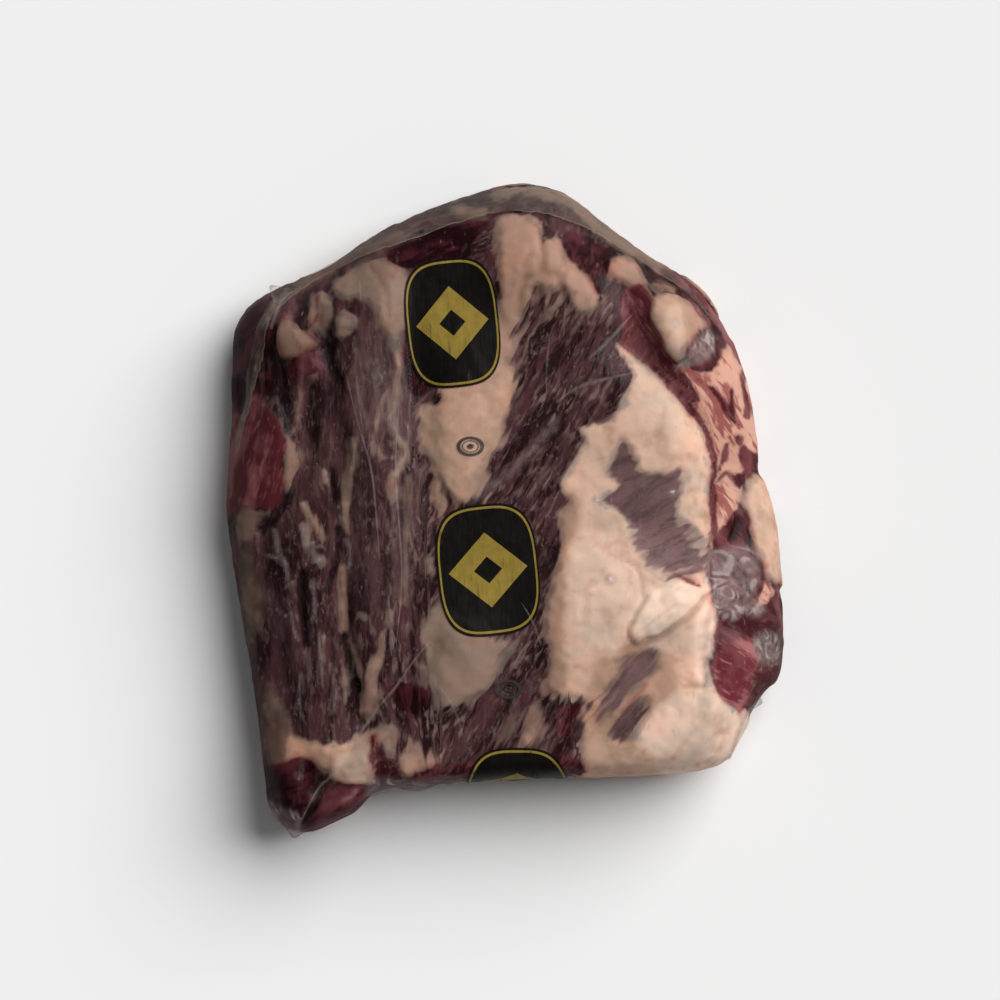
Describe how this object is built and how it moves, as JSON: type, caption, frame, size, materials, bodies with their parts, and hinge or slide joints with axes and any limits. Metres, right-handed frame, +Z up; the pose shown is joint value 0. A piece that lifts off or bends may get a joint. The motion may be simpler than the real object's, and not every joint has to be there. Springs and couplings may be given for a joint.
{
  "type": "vacuum-packed beef rib blade",
  "caption": "Boned slab of marbled rib blade beef, shrunk tight in a clear vacuum bag with a folded seal fin, lying on its flat underside.",
  "frame": {"origin": "middle of the bounding box at the flat underside that the pack rests on", "axes": "+Z up from the underside to the shown face, +Y towards the sealed end of the bag with its folded fin, +X to the right of the shown face"},
  "size_m": [0.28, 0.328, 0.0689],
  "materials": {
    "meat_in_film": "raw marbled beef and firm cream fat pressed flat behind clear glossy film",
    "clear_film": "clear shrink film, glossy, with fine tension wrinkles",
    "film_print": "black and dull gold ink on film, plain shapes"
  },
  "bodies": {
    "root": {"sealed_bag": "meat_in_film"}
  },
  "joints": []
}
